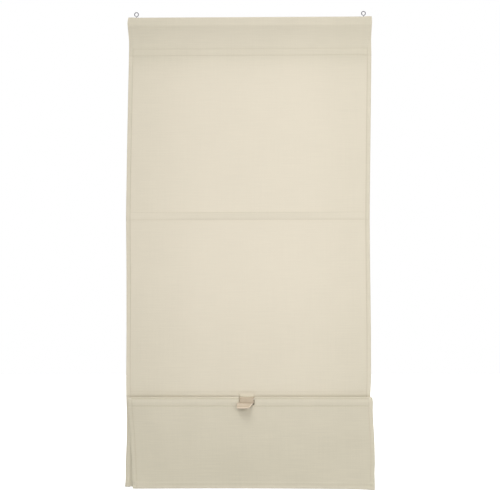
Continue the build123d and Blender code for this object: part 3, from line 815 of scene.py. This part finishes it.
def plasticMaterial(look):
    # injection moulded acetal, beige: satin, with a fine spark-eroded grain and faint flow clouds,
    # and a painted highlight along the front edge of the lip and its cut corner
    material, tree, shader = newMaterial("mouldedAcetal")
    place = addNode(tree, "ShaderNodeTexCoord").outputs["Object"]
    flow = addNode(tree, "ShaderNodeTexNoise", {},
                   {"Vector": place, "Scale": 1 / (look["flow"] * mm), "Detail": 3.0}).outputs["Fac"]
    grain = addNode(tree, "ShaderNodeTexNoise", {},
                    {"Vector": place, "Scale": 1 / (look["grain"] * mm), "Detail": 1.0}).outputs["Fac"]
    colour = addNode(tree, "ShaderNodeMix", {"data_type": "RGBA"},
                     {0: flow, 6: linear(look["dark"]), 7: linear(look["light"])}).outputs[2]
    axes = addNode(tree, "ShaderNodeSeparateXYZ", {}, {0: place}).outputs
    aslant = addNode(tree, "ShaderNodeMath", {"operation": "SUBTRACT"},
                     {0: axes["X"], 1: axes["Y"]}).outputs[0]
    # painted highlight: paler along the lip's front edge and, below the lip's top, along its cut corner
    front, corner = [addNode(tree, "ShaderNodeMapRange", {"interpolation_type": "SMOOTHSTEP"},
                             {"Value": value, "From Min": start * mm, "From Max": full * mm}).outputs[0]
                     for value, (start, full) in ((axes["Y"], look["highlightFront"]),
                                                  (aslant, look["highlightCorner"]))]
    below = addNode(tree, "ShaderNodeMath", {"operation": "LESS_THAN"},
                    {0: axes["Z"], 1: look["lipTop"] * mm}).outputs[0]
    corner = addNode(tree, "ShaderNodeMath", {"operation": "MULTIPLY"}, {0: corner, 1: below}).outputs[0]
    rimHighlight = addNode(tree, "ShaderNodeMath", {"operation": "MAXIMUM"}, {0: front, 1: corner}).outputs[0]
    colour = addNode(tree, "ShaderNodeMix", {"data_type": "RGBA"},
                     {0: rimHighlight, 6: colour, 7: linear(look["rimHighlight"])}).outputs[2]
    rough = addNode(tree, "ShaderNodeMapRange", {}, {"Value": flow, "To Min": 0.34, "To Max": 0.5})
    bump = addNode(tree, "ShaderNodeBump", {}, {"Strength": 0.15, "Distance": 0.03 * mm, "Height": grain})
    setInputs(tree, shader, {"Base Color": colour, "Roughness": rough.outputs[0], "Normal": bump.outputs[0],
                             "IOR": 1.48})
    return material


eyeLook = {"dark": "57555A", "light": "85838A", "spangle": 1.2, "roughness": 0.38}
barLook = {"dark": "6F6E6C", "light": "96958F", "spangle": 4.0, "roughness": 0.5}


def zincMaterial(name, look):
    # zinc on steel: grey, dulled, with the cloudy spangle of the coat
    material, tree, shader = newMaterial(name)
    place = addNode(tree, "ShaderNodeTexCoord").outputs["Object"]
    spangle = addNode(tree, "ShaderNodeTexVoronoi", {},
                      {"Vector": place, "Scale": 1 / (look["spangle"] * mm)}).outputs["Distance"]
    cloudScale = 1 / (2.5 * look["spangle"] * mm)
    cloud = addNode(tree, "ShaderNodeTexNoise", {},
                    {"Vector": place, "Scale": cloudScale, "Detail": 3.0}).outputs["Fac"]
    mix = addNode(tree, "ShaderNodeMath", {"operation": "MULTIPLY"}, {0: spangle, 1: cloud}).outputs[0]
    colour = addNode(tree, "ShaderNodeMix", {"data_type": "RGBA"},
                     {0: mix, 6: linear(look["dark"]), 7: linear(look["light"])}).outputs[2]
    rough = addNode(tree, "ShaderNodeMapRange", {},
                    {"Value": cloud, "To Min": look["roughness"] - 0.08, "To Max": look["roughness"] + 0.1})
    setInputs(tree, shader, {"Base Color": colour, "Metallic": 1.0, "Roughness": rough.outputs[0]})
    return material


# the rods' dark brown is painted shade for where they show in the two openings
darkRodLook = {"dark": "5C5140", "light": "776A55", "wear": 2.0, "peel": 0.7}


def darkRodMaterial(look):
    # the rods: matt, with fine orange peel, a little worn along the length
    material, tree, shader = newMaterial("mattDarkBrownRod")
    place = addNode(tree, "ShaderNodeTexCoord").outputs["Object"]
    drawn = addNode(tree, "ShaderNodeMapping", {}, {"Vector": place, "Scale": (0.05, 1.0, 1.0)}).outputs[0]
    wear = addNode(tree, "ShaderNodeTexNoise", {},
                   {"Vector": drawn, "Scale": 1 / (look["wear"] * mm), "Detail": 3.0}).outputs["Fac"]
    peel = addNode(tree, "ShaderNodeTexNoise", {},
                   {"Vector": place, "Scale": 1 / (look["peel"] * mm), "Detail": 1.0}).outputs["Fac"]
    colour = addNode(tree, "ShaderNodeMix", {"data_type": "RGBA"},
                     {0: wear, 6: linear(look["dark"]), 7: linear(look["light"])}).outputs[2]
    rough = addNode(tree, "ShaderNodeMapRange", {}, {"Value": wear, "To Min": 0.55, "To Max": 0.75})
    bump = addNode(tree, "ShaderNodeBump", {}, {"Strength": 0.2, "Distance": 0.03 * mm, "Height": peel})
    setInputs(tree, shader, {"Base Color": colour, "Roughness": rough.outputs[0], "Normal": bump.outputs[0],
                             "Specular IOR Level": 0.3})
    return material


pineLook = {"early": "DDBE8C", "late": "B98D57", "ring": 2.4, "pore": 0.6}  # a ring each 2.4 mm


def pineMaterial(look):
    # planed pine: pale early wood with darker late wood lines along the batten
    material, tree, shader = newMaterial("planedPine")
    place = addNode(tree, "ShaderNodeTexCoord").outputs["Object"]
    drawn = addNode(tree, "ShaderNodeMapping", {}, {"Vector": place, "Scale": (0.04, 1.0, 1.0)}).outputs[0]
    rings = addNode(tree, "ShaderNodeTexWave", {"wave_type": "RINGS", "rings_direction": "X"},
                    {"Vector": drawn, "Scale": waveScale(look["ring"]), "Distortion": 2.5, "Detail": 2.0,
                     "Detail Scale": 1.5}).outputs["Fac"]
    pores = addNode(tree, "ShaderNodeTexNoise", {},
                    {"Vector": drawn, "Scale": 1 / (look["pore"] * mm), "Detail": 2.0}).outputs["Fac"]
    colour = addNode(tree, "ShaderNodeMix", {"data_type": "RGBA"},
                     {0: rings, 6: linear(look["early"]), 7: linear(look["late"])}).outputs[2]
    bump = addNode(tree, "ShaderNodeBump", {}, {"Strength": 0.2, "Distance": 0.1 * mm, "Height": pores})
    rough = addNode(tree, "ShaderNodeMapRange", {}, {"Value": pores, "To Min": 0.55, "To Max": 0.75})
    setInputs(tree, shader, {"Base Color": colour, "Roughness": rough.outputs[0], "Normal": bump.outputs[0]})
    return material


catchPiece = smoothCopy("catch", "mouldedCatch", 0.3, 32, plasticMaterial(plasticLook))
eyePiece = smoothCopy("screw_eyes", "wireEyes", 0, 40, zincMaterial("zincPlatedWire", eyeLook))
darkRodFinish = darkRodMaterial(darkRodLook)
for name, finish in (("upper_rod", darkRodFinish), ("middle_rod", darkRodFinish), ("lower_rod", darkRodFinish),
                     ("hem_bar", zincMaterial("galvanisedBar", barLook)),
                     ("head_batten", pineMaterial(pineLook))):
    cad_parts[name].material_slots[0].material = finish
print("hard parts finished")

# a pale floor and a white room; the key light comes from high on the left, a broad light from in front,
# one from behind, and a small fill from the right
studio = {"floorHeight": -1.32, "floorSize": 14.0, "floorGlow": 0.7, "ambient": 0.18,
          "suns": {  # strength, angle, elevation, azimuth
              "keyLight": (1.58, 34.0, 60.0, -28.0),
              "frontLight": (0.95, 70.0, 2.0, -6.0),
              "backLight": (2.4, 45.0, 6.0, 170.0)},
          "fillPower": 18.0, "fillPlace": (1.5, -2.0, 0.0), "fillSize": 1.6, "fillAim": (0, 0, -0.6)}


def seenStraight(tree):  # 1 for what the camera, gloss or glass sees, 0 for what only lights
    rays = addNode(tree, "ShaderNodeLightPath").outputs
    seen = rays["Is Camera Ray"]
    for kind in ("Is Glossy Ray", "Is Transmission Ray"):
        seen = addNode(tree, "ShaderNodeMath", {"operation": "MAXIMUM"}, {0: seen, 1: rays[kind]}).outputs[0]
    return seen


bpy.ops.object.select_all(action="DESELECT")
bpy.ops.mesh.primitive_plane_add(size=studio["floorSize"], location=(0, 0, studio["floorHeight"]))
floor = bpy.context.object
floor.name = "paleFloor"
floorMaterial, tree, shader = newMaterial("palePaper")
glow = addNode(tree, "ShaderNodeMath", {"operation": "MULTIPLY"},
               {0: seenStraight(tree), 1: studio["floorGlow"]}).outputs[0]
setInputs(tree, shader, {"Base Color": linear("DCDCDC"), "Roughness": 0.9, "Specular IOR Level": 0.0,
                         "Emission Color": (1, 1, 1, 1), "Emission Strength": glow})
floor.data.materials.append(floorMaterial)

world = bpy.data.worlds.new("whiteRoom")
scene.world = world
world.use_nodes = True
tree = world.node_tree
level = addNode(tree, "ShaderNodeMapRange", {},
                {"Value": seenStraight(tree), "To Min": studio["ambient"], "To Max": 1.0}).outputs[0]
setInputs(tree, tree.nodes["Background"], {"Color": (1, 1, 1, 1), "Strength": level})

for name, (strength, angle, elevation, azimuth) in studio["suns"].items():
    bpy.ops.object.light_add(type="SUN", rotation=(math.radians(90 - elevation), 0, math.radians(azimuth)))
    sun = bpy.context.object
    sun.name = name
    sun.data.energy, sun.data.angle = strength, math.radians(angle)
bpy.ops.object.light_add(type="AREA", location=studio["fillPlace"])
fillLight = bpy.context.object
fillLight.name = "fillLight"
fillLight.data.energy, fillLight.data.size = studio["fillPower"], studio["fillSize"]
aim = Vector(studio["fillAim"]) - Vector(studio["fillPlace"])
fillLight.rotation_euler = aim.to_track_quat("-Z", "Y").to_euler()
print("studio set")

# what each piece stands for and moves with
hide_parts("fabric_panel")
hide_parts("upper_casing")
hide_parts("middle_casing")
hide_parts("lower_casing")
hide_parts("catch")
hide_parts("screw_eyes")
for piece in (clothPanel, upperStrip, middleStrip, lowerStrip, seamThread, eyePiece):
    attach(piece, "blind")
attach(catchPiece, "catch")
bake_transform(lipOfSlit)

print("pieces tied to their bodies")
